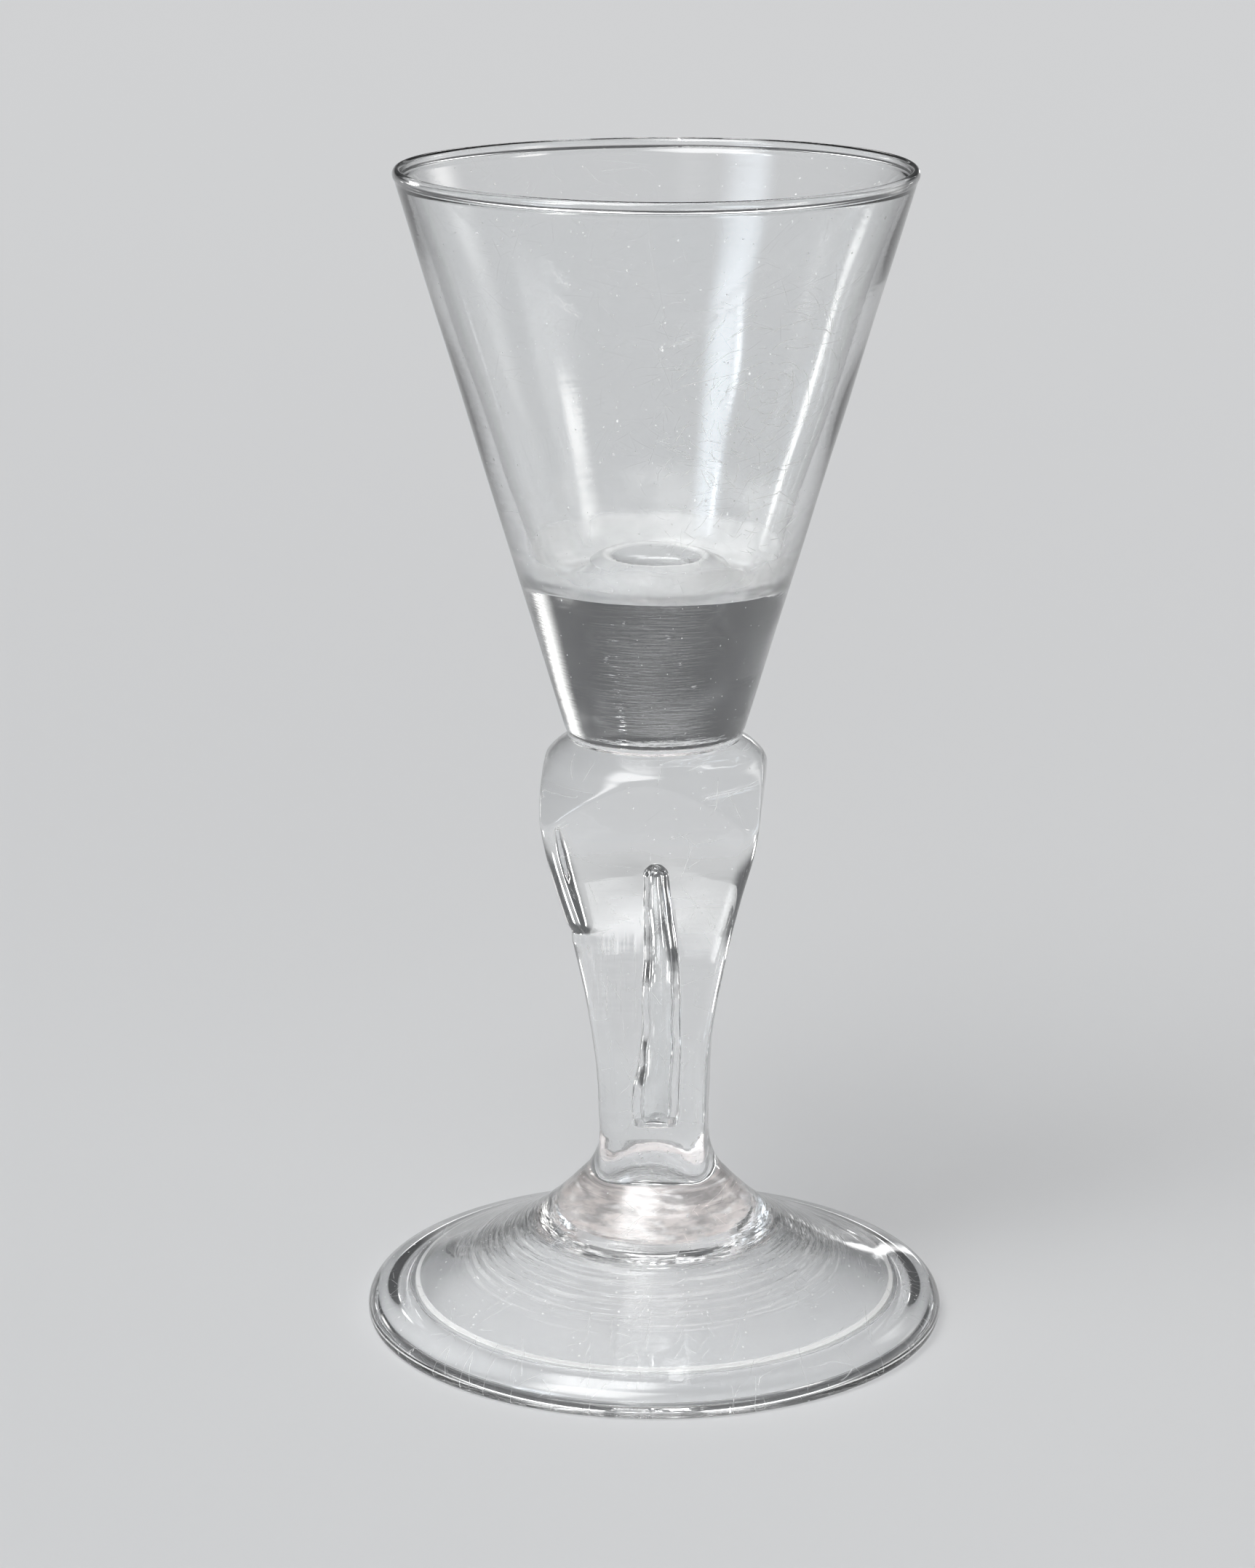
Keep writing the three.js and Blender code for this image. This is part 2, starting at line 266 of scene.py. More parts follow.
stemSizes = {
    "shoulderReach": 10 * mm,
    "shoulderDrop": 12.7 * mm,
    "shoulderShares": [(0, 0), (0.04, 0.07), (0.09, 0.16), (0.18, 0.28), (0.28, 0.36), (0.38, 0.45),
                       (0.5, 0.58), (0.68, 0.75), (0.84, 0.88), (1, 1)],
    "faceTopHalfWidth": 15.5 * mm,
    "faceLowHalfWidth": 7.46 * mm,
    "taperShares": [(0, 0), (0.19, 0.07), (0.33, 0.2), (0.49, 0.41), (0.64, 0.665), (0.76, 0.88),
                    (0.87, 0.98), (1, 1)],
    "arrisRadius": 2.4 * mm,
    "archSoftness": 0.5 * mm,
    "faceTurn": math.radians(-4),
    # hand-worked unevenness, and a nick on the front left arris
    "wave": 0.07 * mm,
    "waveLength": 15 * mm,
    "waveFade": 4 * mm,
    "nickTurn": math.radians(225),
    "nickSpread": math.radians(13),
    "nickHeight": 59.6 * mm,
    "nickLength": 0.9 * mm,
    "nickDepth": 0.42 * mm,
    "around": 256,
    "crowdShare": 0.7,
    "rings": 240,
}
tearSizes = {
    "length": 40.6 * mm,
    "radius": 3.5 * mm,
    "radiusShares": [(-0.1, 0.84), (0, 0.9), (0.04, 0.99), (0.13, 1), (0.24, 0.89), (0.36, 0.79),
                     (0.49, 0.84), (0.66, 0.71), (0.8, 0.6), (0.93, 0.54)],
    "offset": 0.4 * mm,
    "bow": 0.75 * mm,
    "bowShares": [(-0.1, 0), (0.1, 0), (0.28, 0.85), (0.52, 1), (0.66, 1), (0.8, 0.6), (1, 0)],
    "wave": 0.05 * mm,
    "waveLength": 7 * mm,
    "floorDome": 0.7 * mm,
    "rings": 110,
    "domeRings": 20,
    "domeShare": 0.93,
    "floorRings": 12,
}


def squareRadius(angle, halfWidth, arrisRadius):
    # polar radius of a square with rounded arrises, from the middle of a face
    quarter = math.pi / 2
    turn = abs(angle - quarter * round(angle / quarter))
    arris = min(arrisRadius, halfWidth)
    flat = halfWidth - arris
    if math.tan(turn) * halfWidth <= flat:
        return halfWidth / math.cos(turn)
    along = flat * (math.cos(turn) + math.sin(turn))
    aside = flat * (math.cos(turn) - math.sin(turn))
    return along + math.sqrt(arris ** 2 - aside ** 2)


def softLesser(first, second, softness):
    nearness = max(softness - abs(first - second), 0)
    return min(first, second) - nearness ** 2 / (4 * softness)


def stemAngles():
    # closer together at the four arrises than on the flat faces
    faces = 4
    evenAngles = [fullTurn * side / stemSizes["around"] for side in range(stemSizes["around"])]
    return [even + stemSizes["crowdShare"] * math.sin(faces * even) / faces for even in evenAngles]


def stemRing(height, radiusAt):
    ring = []
    for angle in stemAngles():
        radius = radiusAt(angle)
        heading = angle + stemSizes["faceTurn"]
        ring.append(Vector((radius * math.cos(heading), radius * math.sin(heading), height)))
    return ring


def tearRing(rise, radius, wave=None):
    sizes = tearSizes
    across = sizes["offset"] + sizes["bow"] * smoothShares(sizes["bowShares"], rise / sizes["length"])
    ring = []
    for angle in stemAngles():
        heading = angle + stemSizes["faceTurn"]
        away = radius
        if wave:
            away += wave.at(heading, rise) * smoothStep(rise, 0, sizes["radius"]) * radius / sizes["radius"]
        ring.append(Vector((across + away * math.cos(heading), away * math.sin(heading),
                            heights["tearSeam"] + rise)))
    return ring


def tearMouth():
    return tearSizes["radius"] * smoothShares(tearSizes["radiusShares"], 0)


def makeStem():
    sizes = stemSizes
    low, high = heights["tearSeam"], heights["bowlSeam"]
    skinWave = Wobble(sizes["wave"], 9, (1, 2, 3, 4, 5), sizes["waveLength"])
    rings = []
    for step in range(sizes["rings"] + 1):
        height = mixed(low, high, math.sin(step / sizes["rings"] * math.pi / 2))  # closer at the shoulder
        growth = sizes["faceTopHalfWidth"] - sizes["faceLowHalfWidth"]
        taper = smoothShares(sizes["taperShares"], (height - low) / (high - low))
        halfWidth = sizes["faceLowHalfWidth"] + growth * taper
        shoulder = smoothShares(sizes["shoulderShares"], min((high - height) / sizes["shoulderDrop"], 1))
        rounded = bowlSizes["baseRadius"] + sizes["shoulderReach"] * shoulder
        hold = seamHold(height, low, high, sizes["waveFade"])
        nearNick = math.exp(-((height - sizes["nickHeight"]) / sizes["nickLength"]) ** 2)

        def radiusAt(angle):
            radius = softLesser(rounded, squareRadius(angle, halfWidth, sizes["arrisRadius"]),
                                sizes["archSoftness"])
            fromNick = (angle - sizes["nickTurn"]) / sizes["nickSpread"]
            nick = sizes["nickDepth"] * nearNick * math.exp(-fromNick ** 2)
            return radius + skinWave.at(angle, height) * hold - nick

        rings.append(stemRing(height, radiusAt))
    # the tear's skin starts at its top, inside, and joins the low ring through the seam face
    tear = tearSizes
    tearWave = Wobble(tear["wave"], 6, (0, 1, 2, 3), tear["waveLength"])
    domeDepth = tear["radius"] * smoothShares(tear["radiusShares"], tear["domeShare"])
    bodyLength = tear["length"] - domeDepth
    domeRadius = tear["radius"] * smoothShares(tear["radiusShares"], bodyLength / tear["length"])
    hollow = []
    for step in range(tear["domeRings"] - 1, 0, -1):
        angle = math.pi / 2 * step / tear["domeRings"]
        hollow.append(tearRing(bodyLength + domeDepth * math.sin(angle),
                               domeRadius * math.cos(angle), tearWave))
    for step in range(tear["rings"], -1, -1):
        rise = bodyLength * step / tear["rings"]
        radius = tear["radius"] * smoothShares(tear["radiusShares"], rise / tear["length"])
        hollow.append(tearRing(rise, radius, tearWave))
    slots = [glassFace] * (len(hollow) - 1) + [seamFace] + [glassFace] * (len(rings) - 1)
    return ringMesh("pedestal_stem_glass", hollow + rings, slots + [glassFace, seamFace])


baseSizes = {
    "flareShares": [(0, 0), (0.15, 0.01), (0.28, 0.05), (0.48, 0.17), (0.69, 0.4), (0.87, 0.74), (1, 1)],
    "squareEndShare": 0.12,
    "roundStartShare": 0.8,
    "wave": 0.05 * mm,
    "waveLength": 5 * mm,
    "waveFade": 1.5 * mm,
    "rings": 90,
}


def makeStemBase():
    sizes = baseSizes
    low, high = heights["footSeam"], heights["tearSeam"]
    skinWave = Wobble(sizes["wave"], 6, (1, 2, 3, 4), sizes["waveLength"])
    rings = []
    for step in range(sizes["rings"], -1, -1):
        share = step / sizes["rings"]
        height = mixed(high, low, share)
        growth = footSizes["seatRadius"] - stemSizes["faceLowHalfWidth"]
        halfWidth = stemSizes["faceLowHalfWidth"] + growth * smoothShares(sizes["flareShares"], share)
        roundness = smoothStep(share, sizes["squareEndShare"], sizes["roundStartShare"])
        hold = seamHold(height, low, high, sizes["waveFade"])

        def radiusAt(angle):
            square = squareRadius(angle, halfWidth, stemSizes["arrisRadius"])
            return mixed(square, halfWidth, roundness) + skinWave.at(angle, height) * hold

        rings.append(stemRing(height, radiusAt))
    # the seam face is a ring round the tear's mouth, and the floor of the tear is a low dome of open glass
    floorRings = []
    for step in range(tearSizes["floorRings"]):
        share = step / tearSizes["floorRings"]
        floorRings.append(tearRing(tearSizes["floorDome"] * math.sin(share * math.pi / 2),
                                   tearMouth() * math.cos(share * math.pi / 2)))
    slots = [glassFace] * (len(rings) - 1) + [seamFace] + [glassFace] * (len(floorRings) - 1)
    return ringMesh("stem_base_glass", rings + floorRings, slots + [seamFace, glassFace])


footSizes = {
    "radius": 41.3 * mm,
    "seatRadius": 12.4 * mm,
    "rimRadius": 3.1 * mm,
    "rimCentreHeight": 1.4 * mm,
    "rimSlope": math.radians(18),
    "restInset": 1 * mm,
    "restWidth": 1.8 * mm,
    "foldWidth": 7.9 * mm,
    "foldLip": 1.1 * mm,
    "foldSlot": 1.3 * mm,
    "foldSlotGap": 0.16 * mm,
    "plateThickness": 2.6 * mm,
    "pontilRadius": 11.5 * mm,
    "pontilStep": 0.6 * mm,
    "pontilSag": 0.5 * mm,
    "underDomeHeight": 13.2 * mm,
    "underStartShare": 0.17,
    "domeShares": [(0, 1), (0.11, 0.81), (0.25, 0.62), (0.43, 0.43), (0.62, 0.26), (0.81, 0.11), (1, 0)],
    # turning marks in rings, slow waves, the rim's uneven outline, and the broken skin of the scar
    "turnedWave": 0.012 * mm,
    "turnedLength": 1.9 * mm,
    "turnedFrom": 13 * mm,
    "turnedTo": 30 * mm,
    "turnedFadeIn": 3 * mm,
    "turnedFadeOut": 5 * mm,
    "slowWave": 0.06 * mm,
    "slowLength": 14 * mm,
    "slowFull": 18.2 * mm,
    "slowFadeOut": 3 * mm,
    "outlineWave": 0.25 * mm,
    "outlineFrom": 30 * mm,
    "scarDepth": 0.22 * mm,
    "scarGrain": 2.6 * mm,
    "scarFullShare": 0.85,
    "around": 264,
    "domeRings": 168,
    "underRings": 100,
    "scarRings": 36,
    "slotRings": 6,
    "edgeRings": 8,
    "foldRings": 12,
    "restRings": 12,
    "rimRings": 26,
}


def footProfile(sizes):
    # [radius, height, face], from the scar out along the underside, round the rim and in over the top
    rimCentre = sizes["radius"] - sizes["rimRadius"]
    rimStart = math.pi / 2 - sizes["rimSlope"]
    domeEnd = rimCentre + sizes["rimRadius"] * math.cos(rimStart)
    domeEndHeight = sizes["rimCentreHeight"] + sizes["rimRadius"] * math.sin(rimStart)
    domeSpan = domeEnd - sizes["seatRadius"]
    domeDrop = heights["footSeam"] - domeEndHeight

    def topAt(radius):
        rise = smoothShares(sizes["domeShares"], (radius - sizes["seatRadius"]) / domeSpan)
        return domeEndHeight + domeDrop * rise

    def underAt(radius):
        nudge = domeSpan / 1000
        steepness = (topAt(radius - nudge) - topAt(radius + nudge)) / (2 * nudge)
        return topAt(radius) - sizes["plateThickness"] * math.hypot(1, steepness)

    foldInner = sizes["radius"] - sizes["foldWidth"]
    slotEnd = foldInner + sizes["foldSlot"]
    restOuter = sizes["radius"] - sizes["restInset"]
    restInner = restOuter - sizes["restWidth"]
    profile = []
    for step in range(1, sizes["scarRings"] + 1):
        share = step / sizes["scarRings"]
        profile.append((sizes["pontilRadius"] * share, sizes["underDomeHeight"] - sizes["pontilStep"]
                        - sizes["pontilSag"] * (1 - share ** 2), "scar"))
    profile.append((sizes["pontilRadius"] + sizes["pontilStep"] / 2, sizes["underDomeHeight"], "under"))
    underStart = sizes["seatRadius"] + domeSpan * sizes["underStartShare"]
    for step in range(sizes["underRings"] + 1):
        radius = mixed(underStart, foldInner, step / sizes["underRings"])
        profile.append((radius, underAt(radius), "under"))
    # the fold's edge lies against the plate with a thin slot of air behind it
    for step in range(1, sizes["slotRings"] + 1):
        radius = mixed(foldInner, slotEnd, step / sizes["slotRings"])
        profile.append((radius, underAt(radius), "fold"))
    for step in range(sizes["slotRings"], -1, -1):
        radius = mixed(foldInner, slotEnd, step / sizes["slotRings"])
        profile.append((radius, underAt(radius) - sizes["foldSlotGap"], "fold"))
    edgeTop = underAt(foldInner) - sizes["foldSlotGap"]
    for step in range(1, sizes["edgeRings"] + 1):
        angle = math.pi / 2 * step / sizes["edgeRings"]
        profile.append((foldInner + sizes["foldLip"] * (1 - math.cos(angle)) / 2,
                        edgeTop - sizes["foldLip"] * math.sin(angle), "fold"))
    edgeRadius, edgeLow, _ = profile[-1]
    for step in range(1, sizes["foldRings"] + 1):
        share = step / sizes["foldRings"]
        profile.append((mixed(edgeRadius, restInner, share), edgeLow * (1 - smoothStep(share, 0, 1)), "fold"))
    profile.append((restOuter, 0, "fold"))
    for step in range(1, sizes["restRings"]):
        angle = math.pi / 2 * step / sizes["restRings"]
        profile.append((restOuter + sizes["restInset"] * math.sin(angle),
                        sizes["rimCentreHeight"] * (1 - math.cos(angle)), "fold"))
    for step in range(sizes["rimRings"]):
        angle = rimStart * step / sizes["rimRings"]
        profile.append((rimCentre + sizes["rimRadius"] * math.cos(angle),
                        sizes["rimCentreHeight"] + sizes["rimRadius"] * math.sin(angle), "rim"))
    for step in range(sizes["domeRings"], -1, -1):
        radius = sizes["seatRadius"] + domeSpan * step / sizes["domeRings"]
        profile.append((radius, topAt(radius), "top"))
    return profile


def makeFoot():
    sizes = footSizes
    turned = {face: Wobble(sizes["turnedWave"], 8, (0, 1, 1, 2, 3), sizes["turnedLength"])
              for face in ("top", "under")}
    slow = {face: Wobble(sizes["slowWave"], 6, (1, 2, 3, 4), sizes["slowLength"])
            for face in ("top", "under")}
    foldInner = sizes["radius"] - sizes["foldWidth"]
    rings = []
    for radius, height, face in footProfile(sizes):
        ring = []
        onTurned = smoothStep(radius, sizes["turnedFrom"], sizes["turnedFrom"] + sizes["turnedFadeIn"])
        onTurned *= 1 - smoothStep(radius, sizes["turnedTo"] - sizes["turnedFadeOut"], sizes["turnedTo"])
        onSlow = smoothStep(radius, sizes["turnedFrom"], sizes["slowFull"])
        onSlow *= 1 - smoothStep(radius, foldInner - sizes["slowFadeOut"], foldInner)
        onOutline = smoothStep(radius, sizes["outlineFrom"], sizes["radius"])
        onScar = 1 - smoothStep(radius, sizes["scarFullShare"] * sizes["pontilRadius"], sizes["pontilRadius"])
        for side in range(sizes["around"]):
            angle = fullTurn * side / sizes["around"]
            away = radius - sizes["outlineWave"] * (1 - math.cos(2 * angle)) / 2 * onOutline
            lift = 0
            if face in turned:
                lift = turned[face].at(angle, radius) * onTurned + slow[face].at(angle, radius) * onSlow
            point = Vector((away * math.cos(angle), away * math.sin(angle), 0))
            if face == "scar":
                lift = sizes["scarDepth"] * noise.noise(point / sizes["scarGrain"]) * onScar
            point.z = height + lift
            ring.append(point)
        rings.append(ring)
    slots = [glassFace] * (len(rings) - 1) + [glassFace, seamFace]
    return ringMesh("foot_glass", rings, slots)


class Wire:
    # one output of a node: sums written with it add Math nodes, or Vector Math nodes for a vector or colour
    def __init__(self, recipe, socket):
        self.recipe = recipe
        self.socket = socket

    def sum(self, operation, first, second):
        isVector = self.socket.type in ("VECTOR", "RGBA")
        values = [(value,) * 3 if isVector and not isinstance(value, Wire) else value
                  for value in (first, second)]
        return self.recipe.node("VectorMath" if isVector else "Math", {"operation": operation},
                                {0: values[0], 1: values[1]})

    def __add__(self, other):
        return self.sum("ADD", self, other)

    def __radd__(self, other):
        return self.sum("ADD", other, self)

    def __sub__(self, other):
        return self.sum("SUBTRACT", self, other)

    def __rsub__(self, other):
        return self.sum("SUBTRACT", other, self)

    def __mul__(self, other):
        return self.sum("MULTIPLY", self, other)

    def __rmul__(self, other):
        return self.sum("MULTIPLY", other, self)

    def __truediv__(self, other):
        return self.sum("DIVIDE", self, other)

    def __pow__(self, other):
        return self.sum("POWER", self, other)

    def __abs__(self):
        return self.recipe.node("Math", {"operation": "ABSOLUTE"}, {0: self})


class Recipe:
    # the nodes of one material, lamp or world
    def __init__(self, owner):
        owner.use_nodes = True
        self.owner = owner
        self.tree = owner.node_tree
        self.tree.nodes.clear()

    def node(self, kind, settings, inputs, output=0):
        made = self.tree.nodes.new("ShaderNode" + kind)
        for name, value in settings.items():
            setattr(made, name, value)
        for name, value in inputs.items():
            if isinstance(value, Wire):
                self.tree.links.new(value.socket, made.inputs[name])
            else:
                made.inputs[name].default_value = value
        return Wire(self, made.outputs[output]) if made.outputs else None

    def place(self):
        # the place on the object, in millimetres
        return self.node("TexCoord", {}, {}, "Object") / mm

    def parts(self, vector):
        return [self.node("SeparateXYZ", {}, {0: vector}, axis) for axis in range(3)]

    def joined(self, x, y, z=0.0):
        return self.node("CombineXYZ", {}, {0: x, 1: y, 2: z})

    def wave(self, operation, angle):
        return self.node("Math", {"operation": operation}, {0: angle})

    def noise(self, vector, scale, detail=2.0, roughness=0.5):
        return self.node("TexNoise", {"noise_dimensions": "3D"},
                         {"Vector": vector, "Scale": scale, "Detail": detail, "Roughness": roughness})

    def ramp(self, value, low, high, toLow=0.0, toHigh=1.0):
        return self.node("MapRange", {"interpolation_type": "SMOOTHSTEP"},
                         {"Value": value, "From Min": low, "From Max": high,
                          "To Min": toLow, "To Max": toHigh})

    def fade(self, value, low, high):
        return self.ramp(value, low, high, 1.0, 0.0)

    def between(self, value, low, high, soft):
        # 1 from low to high, with soft ends
        return self.ramp(value, low - soft, low + soft) * self.fade(value, high - soft, high + soft)

    def blend(self, share, first, second):
        # a colour between two
        return self.node("Mix", {"data_type": "RGBA"}, {0: share, 6: (*first, 1), 7: (*second, 1)}, 2)

    def turnTo(self, up, across):
        return self.node("Math", {"operation": "ARCTAN2"}, {0: up, 1: across})

    def unrolled(self, radius):
        # distance round from the middle of the front at one radius, and height, to draw lines on the skin
        x, y, z = self.parts(self.place())
        return self.turnTo(x, 0 - y) * radius, z

    def cells(self, x, y, size):
        # scattered points, one to a cell: the way from the nearest one, and three numbers of its own
        spot = self.joined(x / size, y / size)
        settings = {"voronoi_dimensions": "2D", "feature": "F1"}
        inputs = {"Vector": spot, "Scale": 1.0, "Randomness": 1.0}
        away = spot - self.node("TexVoronoi", settings, inputs, "Position")
        return self.parts(away)[:2], self.parts(self.node("TexVoronoi", settings, inputs, "Color"))

    def picked(self, pick, share):
        # keeps that share of the cells
        return self.ramp(pick, 1 - share, 1.02 - share)

    def strokes(self, x, y, size, width, lean, spread, bend, share):
        # straight or bent hairlines, no more than one in each cell; sizes in millimetres
        (dx, dy), (turn, curl, pick) = self.cells(x, y, size)
        angle = lean + (turn - 0.5) * spread
        cosine, sine = self.wave("COSINE", angle), self.wave("SINE", angle)
        along = dx * cosine + dy * sine
        across = dy * cosine - dx * sine + (curl - 0.5) * bend * along * along
        thin = self.fade(abs(across), 0.3 * width / size, width / size)
        return thin * self.fade(abs(along), 0.3, 0.6) * self.picked(pick, share)

    def specks(self, x, y, size, width, share):
        # round dots of uneven size
        (dx, dy), (scale, _, pick) = self.cells(x, y, size)
        away = lengthOf(dx, dy) / (scale + 0.35)
        return self.fade(away, 0.4 * width / size, width / size) * self.picked(pick, share)

    def wiped(self, x, y, centre, reach, size, width, share):
        # short arcs round one point, as left by wiping
        dx, dy = x - centre[0], y - centre[1]
        arcs = self.strokes(x, y, size, width, self.turnTo(dy, dx) + math.pi / 2, 1.2, 0.0, share)
        return arcs * self.fade(lengthOf(dx, dy), reach / 2, reach)

    def layered(self, draw, x, y, layers):
        # several layers of one kind of mark, each moved aside so that they don't fall together
        marks = 0.0
        for (aside, up), *sizes in layers:
            marks = marks + draw(x + aside, y + up, *sizes)
        return marks

    def glass(self, values, haze, roughness, relief, milky=None):
        # clear glass with painted shade that darkens it where it is seen edge-on, and milky where it is worn
        # or dusty and where a highlight is painted
        tint = self.blend(self.noise(self.place(), values["tintScale"]), values["tint"], values["tintDeep"])
        facing = self.node("LayerWeight", {}, {"Blend": 0.5}, "Facing")
        # painted shade: the colour darkens where the surface is seen edge-on
        tint = tint * self.ramp(facing, values["edgeFrom"], 1.0, 1.0, values["edgeShade"])
        normal = self.node("Bump", {}, {"Height": relief, "Distance": values["reliefDepth"], "Strength": 1.0})
        clear = self.node("BsdfPrincipled", {},
                          {"Base Color": tint, "Roughness": roughness, "IOR": values["bend"],
                           "Transmission Weight": 1.0, "Normal": normal})
        # the milky skin shows wear and dust, and also the painted highlights and glints that some pieces put
        # into their haze
        worn = self.node("BsdfPrincipled", {}, {"Base Color": milky or (*values["milky"], 1),
                                                "Roughness": values["milkyRoughness"]})
        skin = self.node("MixShader", {}, {0: haze, 1: clear, 2: worn})
        # light passes through to the table, which keeps a pale shadow
        passed = self.node("BsdfTransparent", {}, {"Color": (*values["shadow"], 1)})
        inShadow = self.node("LightPath", {}, {}, "Is Shadow Ray")
        surface = self.node("MixShader", {}, {0: inShadow, 1: skin, 2: passed})
        self.node("OutputMaterial", {}, {"Surface": surface})
        return self.owner


glassValues = {
    "bend": 1.55,
    "tint": (0.99, 0.992, 0.99),
    "tintDeep": (0.965, 0.978, 0.985),
    "tintScale": 0.06,
    # where and how deeply the painted shade darkens glass seen edge-on
    "edgeFrom": 0.45,
    "edgeShade": 0.03,
    "milky": (0.92, 0.92, 0.91),
    "milkyRoughness": 0.55,
    "scarred": (0.93, 0.84, 0.81),
    "shadow": (0.84, 0.84, 0.845),
    "reliefDepth": 0.02 * mm,
    # how milky and how rough a scratch and a speck of dust are
    "scratchHaze": 0.3,
    "scratchRoughness": 0.25,
    "dustHaze": 0.75,
    "dustRoughness": 0.3,
}


# from here to the camera, lengths are in millimetres; strokes are (aside, up), cell, width, lean, spread,
# bend and share, and specks are (aside, up), cell, width and share
bowlFinish = {
    "unrolledAt": 25.0,
    "insideFrom": (0.45, 0.65),
    # worn most on the front, right of the middle, and a little everywhere; heights are above the cavity floor
    "wornAround": (2.0, 27.0, 6.0),
    "wornUp": (3.8, 43.8, 6.0),
    "wornMost": 0.85,
    "wornLeast": 0.15,
    "scratches": [((0, 0), 6.5, 0.07, 0.0, math.pi, 0.15, 0.6),
                  ((3.1, 7.7), 3.4, 0.06, 0.1, 3.0, 0.3, 0.6),
                  ((8.3, 2.9), 9.0, 0.07, 0.2, 0.7, 0.1, 0.5),
                  ((1.7, 0.9), 2.2, 0.05, 0.3, 1.8, 0.3, 0.6)],
    "scratchPatches": 0.12,
    "scratchHaze": 0.6,
    "scratchRoughness": 0.2,
    # (aside, up), centre, reach, cell, width and share
    "wipedArcs": [((0, 0), (14.0, 138.0), 18.0, 2.4, 0.06, 0.7),
                  ((4.3, 2.2), (17.0, 140.0), 18.0, 3.6, 0.07, 0.7),
                  ((1.3, 5.2), (5.0, 131.0), 14.0, 2.9, 0.06, 0.6)],
    "dust": [((0, 0), 2.6, 0.11, 0.3), ((5.0, 0), 6.5, 0.2, 0.35)],
    "dustHaze": 0.8,
    "dustInside": 41.0,           # how far round the dust inside is moved from that outside
    # the painted highlights inside the cavity
    "paintedCavityClouds": 0.13,
    "cavityFloorRoughness": 0.3,
    "paintedFloorTop": (4.3, 5.8),
    "paintedFloorFrom": (-0.4, 1.0),   # out from the edge of the dish
    "crest": (0.1, 1.1, 0.4),
    "crestTop": (4.8, 5.8),
    "lowWallUp": (4.8, 10.8, 2.0),
    "lowWallFrom": (9.0, 11.0),
    "striaeTop": (-1.2, 0.8),
    "striae": 0.9,
    "cords": 0.3,
}


def bowlGlass():
    finish = bowlFinish
    recipe = Recipe(bpy.data.materials.new("bowl_clear"))
    x, y, z = recipe.parts(recipe.place())
    away = lengthOf(x, y)
    around, height = recipe.unrolled(finish["unrolledAt"])
    fromFloor = z - (heights["bowlSeam"] + bowlSizes["solidDepth"]) / mm
    wall = (bowlSizes["lipRadius"] - bowlSizes["baseRadius"]) / (heights["lip"] - heights["bowlSeam"])
    outer = bowlSizes["baseRadius"] / mm + (z - heights["bowlSeam"] / mm) * wall
    inside = recipe.ramp(outer - away, *finish["insideFrom"])
    outside = 1 - inside

    worn = recipe.between(around, *finish["wornAround"]) * recipe.between(fromFloor, *finish["wornUp"])
    worn = worn * finish["wornMost"] + finish["wornLeast"]
    patch = recipe.noise(recipe.joined(around, height, 3.0), finish["scratchPatches"])
    fine = recipe.layered(recipe.strokes, around, height, finish["scratches"])
    fine = fine * recipe.ramp(patch, 0.4, 0.6, 0.2, 1.0)
    fine = (fine + recipe.layered(recipe.wiped, around, height, finish["wipedArcs"])) * worn * outside
    dust = recipe.layered(recipe.specks, around + inside * finish["dustInside"], height, finish["dust"])

    # painted highlights: a whitish haze on the cavity floor and low on its wall, thin in the dish and thick
    # on its crest
    cloud = recipe.ramp(recipe.noise(recipe.place(), finish["paintedCavityClouds"]), 0.35, 0.7)
    fromDish = away - bowlSizes["dishRadius"] / mm
    onFloor = recipe.ramp(fromDish, *finish["paintedFloorFrom"]) * (cloud * 0.28 + 0.2) + 0.05
    onFloor = onFloor * recipe.fade(fromFloor, *finish["paintedFloorTop"])
    onCrest = recipe.between(fromDish, *finish["crest"]) * (cloud * 0.2 + 0.35)
    onCrest = onCrest * recipe.fade(fromFloor, *finish["crestTop"])
    onWall = recipe.between(fromFloor, *finish["lowWallUp"]) * recipe.ramp(away, *finish["lowWallFrom"])
    onWall = onWall * cloud * 0.25

    cords = recipe.noise(recipe.joined(around / 40, height / 0.9), 1.0, 3.0)
    striae = recipe.noise(recipe.joined(around / 6, height / 0.35), 1.0)
    striae = striae * recipe.fade(fromFloor, *finish["striaeTop"]) * outside
    # the haze is scratches and dust, and inside the cavity the painted highlights
    haze = fine * finish["scratchHaze"] + dust * finish["dustHaze"] + inside * (onFloor + onCrest + onWall)
    roughness = fine * finish["scratchRoughness"] + dust * glassValues["dustRoughness"]
    roughness = roughness + inside * onFloor * finish["cavityFloorRoughness"]
    relief = cords * finish["cords"] + striae * finish["striae"]
    return recipe.glass(glassValues, haze, roughness, relief)


stemFinish = {
    "unrolledAt": 12.0,
    "scratches": [((0, 0), 5.0, 0.05, math.pi / 2, 1.6, 0.1, 0.25),
                  ((2.2, 4.1), 2.8, 0.04, 0.0, math.pi, 0.3, 0.25)],
    "dust": [((0, 0), 2.1, 0.12, 0.3)],
    "skinWaves": 1.2,
    # strokes of the tool low on the left of the front face, with milky dashes on them that are painted glints
    "toolAcross": (-8.5, -2.5, 0.8),
    "toolUp": (47.0, 60.0, 1.5),
    "toolFront": (-5.0, -2.0),
    "toolRelief": 5.0,
    "toolPaintedGlints": 0.3,
    "toolRoughness": 0.1,
}


